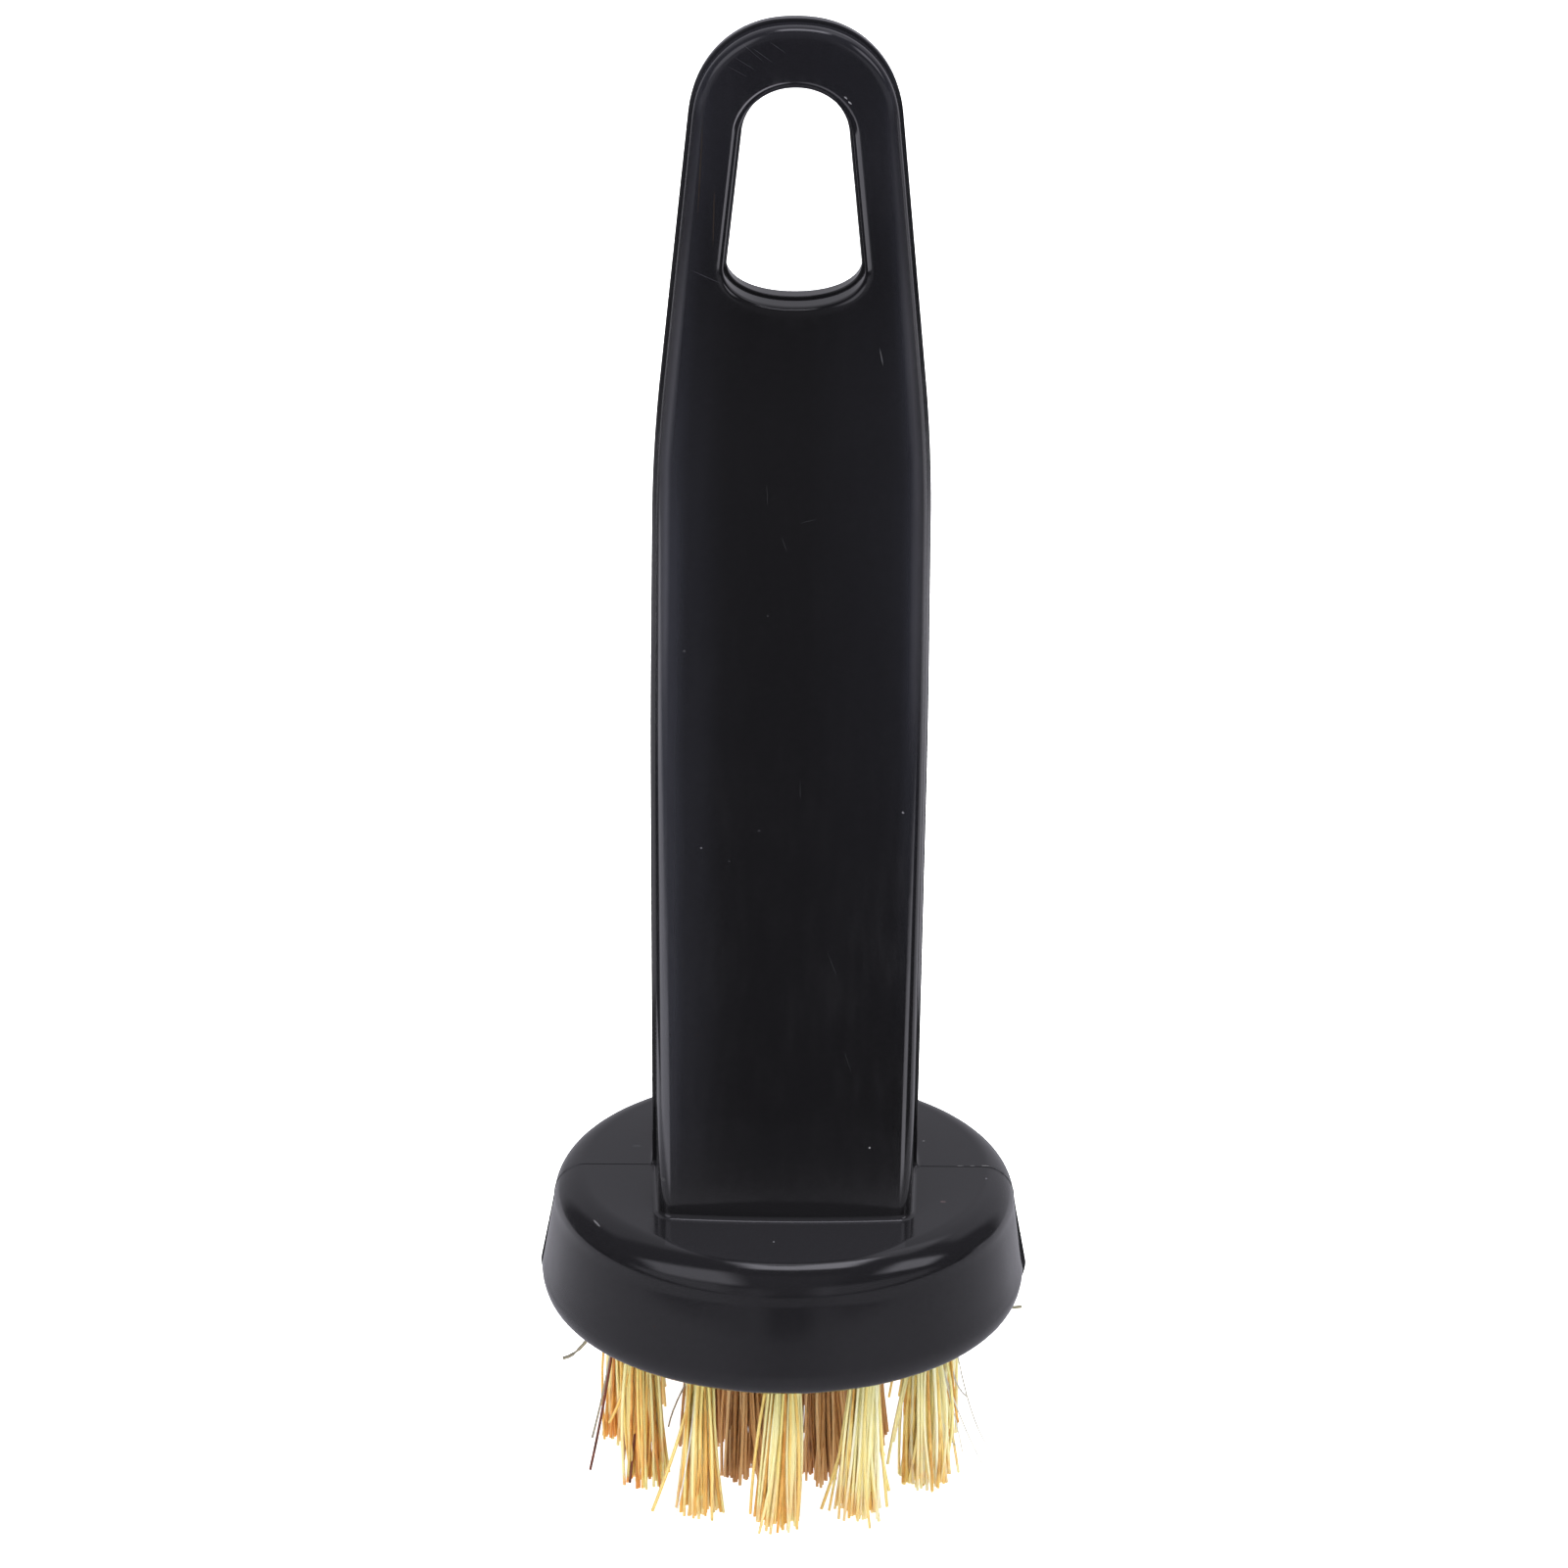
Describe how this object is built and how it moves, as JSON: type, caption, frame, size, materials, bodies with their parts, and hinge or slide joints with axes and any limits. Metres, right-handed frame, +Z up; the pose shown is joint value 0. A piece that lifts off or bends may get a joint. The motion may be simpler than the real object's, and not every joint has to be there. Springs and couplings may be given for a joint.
{
  "type": "golf club brush",
  "caption": "Golf club cleaning brush: flat tapering plastic handle with a hanging slot, round disc head moulded with it, and short brass wire tufts in rings under the head.",
  "frame": {"origin": "centre of the footprint, on the plane that the bristle tips stand on", "axes": "+Z up along the handle, -Y the front broad face, +X to the right seen from the front"},
  "size_m": [0.0636, 0.0636, 0.1922],
  "materials": {
    "black_plastic": "gloss, as moulded",
    "brass_wire": "drawn wire",
    "anchor_steel": "plain strip"
  },
  "bodies": {
    "root": {"moulded_body": "black_plastic", "tuft_outer_01": "brass_wire", "tuft_outer_02": "brass_wire", "tuft_outer_03": "brass_wire", "tuft_outer_04": "brass_wire", "tuft_outer_05": "brass_wire", "tuft_outer_06": "brass_wire", "tuft_outer_07": "brass_wire", "tuft_outer_08": "brass_wire", "tuft_outer_09": "brass_wire", "tuft_outer_10": "brass_wire", "tuft_outer_11": "brass_wire", "tuft_outer_12": "brass_wire", "tuft_inner_01": "brass_wire", "tuft_inner_02": "brass_wire", "tuft_inner_03": "brass_wire", "tuft_inner_04": "brass_wire", "tuft_inner_05": "brass_wire", "tuft_inner_06": "brass_wire", "tuft_centre": "brass_wire", "anchor_outer_01": "anchor_steel", "anchor_outer_02": "anchor_steel", "anchor_outer_03": "anchor_steel", "anchor_outer_04": "anchor_steel", "anchor_outer_05": "anchor_steel", "anchor_outer_06": "anchor_steel", "anchor_outer_07": "anchor_steel", "anchor_outer_08": "anchor_steel", "anchor_outer_09": "anchor_steel", "anchor_outer_10": "anchor_steel", "anchor_outer_11": "anchor_steel", "anchor_outer_12": "anchor_steel", "anchor_inner_01": "anchor_steel", "anchor_inner_02": "anchor_steel", "anchor_inner_03": "anchor_steel", "anchor_inner_04": "anchor_steel", "anchor_inner_05": "anchor_steel", "anchor_inner_06": "anchor_steel", "anchor_centre": "anchor_steel"}
  },
  "joints": []
}
